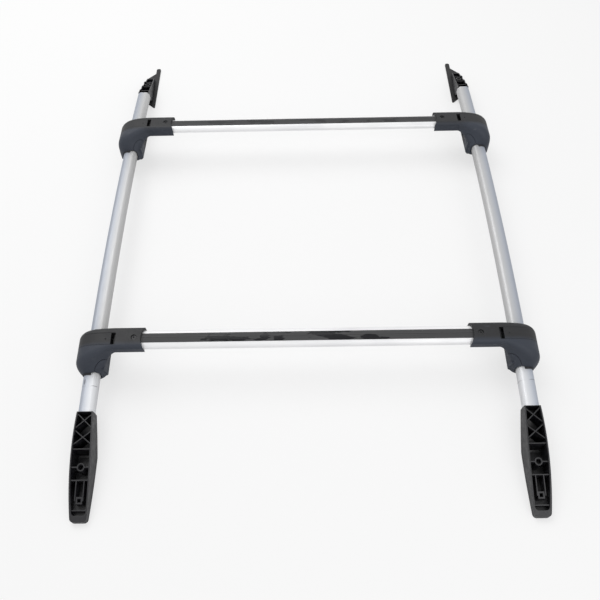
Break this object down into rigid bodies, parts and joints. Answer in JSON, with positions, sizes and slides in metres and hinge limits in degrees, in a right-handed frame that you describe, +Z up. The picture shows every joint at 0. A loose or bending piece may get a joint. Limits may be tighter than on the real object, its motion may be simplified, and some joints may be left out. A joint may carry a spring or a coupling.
{
  "type": "roof rack",
  "caption": "Roof rack for a car: arched silver side rails on black roof brackets, joined by aerofoil crossbars on clamping feet with flip covers.",
  "frame": {"origin": "on the roof plane, in the middle of the rack's length and width", "axes": "+X right, +Y towards the rear of the car, +Z up"},
  "size_m": [1.132, 1.552, 0.1323],
  "materials": {
    "rail_aluminium": "satin",
    "bar_aluminium": "satin",
    "foot_plastic": "matte",
    "bracket_plastic": "satin",
    "rubber": "matte",
    "steel": "satin"
  },
  "bodies": {
    "rails": {"rail_left": "rail_aluminium", "front_bracket_left": "bracket_plastic", "rear_bracket_left": "bracket_plastic", "rear_sole_left": "rubber", "rail_right": "rail_aluminium", "front_bracket_right": "bracket_plastic", "rear_bracket_right": "bracket_plastic", "rear_sole_right": "rubber", "mounting_bushes": "steel", "rail_screws": "steel"},
    "front_bar": {"front_crossbar": "bar_aluminium", "front_slot_strip": "rubber", "front_left_foot": "foot_plastic", "front_left_rail_pad": "rubber", "front_left_foot_screw": "steel", "front_left_hinge_pin": "steel", "front_right_foot": "foot_plastic", "front_right_rail_pad": "rubber", "front_right_foot_screw": "steel", "front_right_hinge_pin": "steel"},
    "front_left_cover": {"front_left_cover": "foot_plastic"},
    "front_left_jaw": {"front_left_jaw": "foot_plastic", "front_left_jaw_pad": "rubber", "front_left_clamp_nut": "steel"},
    "front_left_bolt": {"front_left_clamp_bolt": "steel"},
    "front_right_cover": {"front_right_cover": "foot_plastic"},
    "front_right_jaw": {"front_right_jaw": "foot_plastic", "front_right_jaw_pad": "rubber", "front_right_clamp_nut": "steel"},
    "front_right_bolt": {"front_right_clamp_bolt": "steel"},
    "rear_bar": {"rear_crossbar": "bar_aluminium", "rear_slot_strip": "rubber", "rear_left_foot": "foot_plastic", "rear_left_rail_pad": "rubber", "rear_left_foot_screw": "steel", "rear_left_hinge_pin": "steel", "rear_right_foot": "foot_plastic", "rear_right_rail_pad": "rubber", "rear_right_foot_screw": "steel", "rear_right_hinge_pin": "steel"},
    "rear_left_cover": {"rear_left_cover": "foot_plastic"},
    "rear_left_jaw": {"rear_left_jaw": "foot_plastic", "rear_left_jaw_pad": "rubber", "rear_left_clamp_nut": "steel"},
    "rear_left_bolt": {"rear_left_clamp_bolt": "steel"},
    "rear_right_cover": {"rear_right_cover": "foot_plastic"},
    "rear_right_jaw": {"rear_right_jaw": "foot_plastic", "rear_right_jaw_pad": "rubber", "rear_right_clamp_nut": "steel"},
    "rear_right_bolt": {"rear_right_clamp_bolt": "steel"}
  },
  "joints": [
    {"name": "front_bar_along_rails", "type": "hinge", "parent": "rails", "child": "front_bar", "pos_m": [0, 0, -5.322], "axis": [1, 0, 0], "range_deg": [-2.8, 0.5]},
    {"name": "front_left_cover_hinge", "type": "hinge", "parent": "front_bar", "child": "front_left_cover", "pos_m": [-0.48, -0.37191, 0.12331], "axis": [0, 0.9977, 0.0676], "range_deg": [0, 100]},
    {"name": "front_left_bolt_turn", "type": "hinge", "parent": "front_bar", "child": "front_left_bolt", "pos_m": [-0.543, -0.37129, 0.0993], "axis": [-1, 0, 0], "range_deg": [0, 4040]},
    {"name": "front_left_jaw_slide", "type": "slide", "parent": "front_bar", "child": "front_left_jaw", "axis": [1, 0, 0], "range_m": [0, 0.014]},
    {"name": "front_right_cover_hinge", "type": "hinge", "parent": "front_bar", "child": "front_right_cover", "pos_m": [0.48, -0.37191, 0.12331], "axis": [0, -0.9977, -0.0676], "range_deg": [0, 100]},
    {"name": "front_right_bolt_turn", "type": "hinge", "parent": "front_bar", "child": "front_right_bolt", "pos_m": [0.543, -0.37129, 0.0993], "axis": [1, 0, 0], "range_deg": [0, 4040]},
    {"name": "front_right_jaw_slide", "type": "slide", "parent": "front_bar", "child": "front_right_jaw", "axis": [-1, 0, 0], "range_m": [0, 0.014]},
    {"name": "rear_bar_along_rails", "type": "hinge", "parent": "rails", "child": "rear_bar", "pos_m": [0, 0, -5.322], "axis": [1, 0, 0], "range_deg": [-1.5, 2.8]},
    {"name": "rear_left_cover_hinge", "type": "hinge", "parent": "rear_bar", "child": "rear_left_cover", "pos_m": [-0.48, 0.36593, 0.12372], "axis": [0, 0.9977, -0.0676], "range_deg": [0, 100]},
    {"name": "rear_left_bolt_turn", "type": "hinge", "parent": "rear_bar", "child": "rear_left_bolt", "pos_m": [-0.543, 0.36331, 0.09984], "axis": [-1, 0, 0], "range_deg": [0, 4040]},
    {"name": "rear_left_jaw_slide", "type": "slide", "parent": "rear_bar", "child": "rear_left_jaw", "axis": [1, 0, 0], "range_m": [0, 0.014]},
    {"name": "rear_right_cover_hinge", "type": "hinge", "parent": "rear_bar", "child": "rear_right_cover", "pos_m": [0.48, 0.36593, 0.12372], "axis": [0, -0.9977, 0.0676], "range_deg": [0, 100]},
    {"name": "rear_right_bolt_turn", "type": "hinge", "parent": "rear_bar", "child": "rear_right_bolt", "pos_m": [0.543, 0.36331, 0.09984], "axis": [1, 0, 0], "range_deg": [0, 4040]},
    {"name": "rear_right_jaw_slide", "type": "slide", "parent": "rear_bar", "child": "rear_right_jaw", "axis": [-1, 0, 0], "range_m": [0, 0.014]}
  ],
  "couplings": [
    {"joint": "front_left_bolt_turn", "follows": "front_left_jaw_slide", "rad_per_m": 5026.5},
    {"joint": "front_right_bolt_turn", "follows": "front_right_jaw_slide", "rad_per_m": 5026.5},
    {"joint": "rear_left_bolt_turn", "follows": "rear_left_jaw_slide", "rad_per_m": 5026.5},
    {"joint": "rear_right_bolt_turn", "follows": "rear_right_jaw_slide", "rad_per_m": 5026.5}
  ]
}
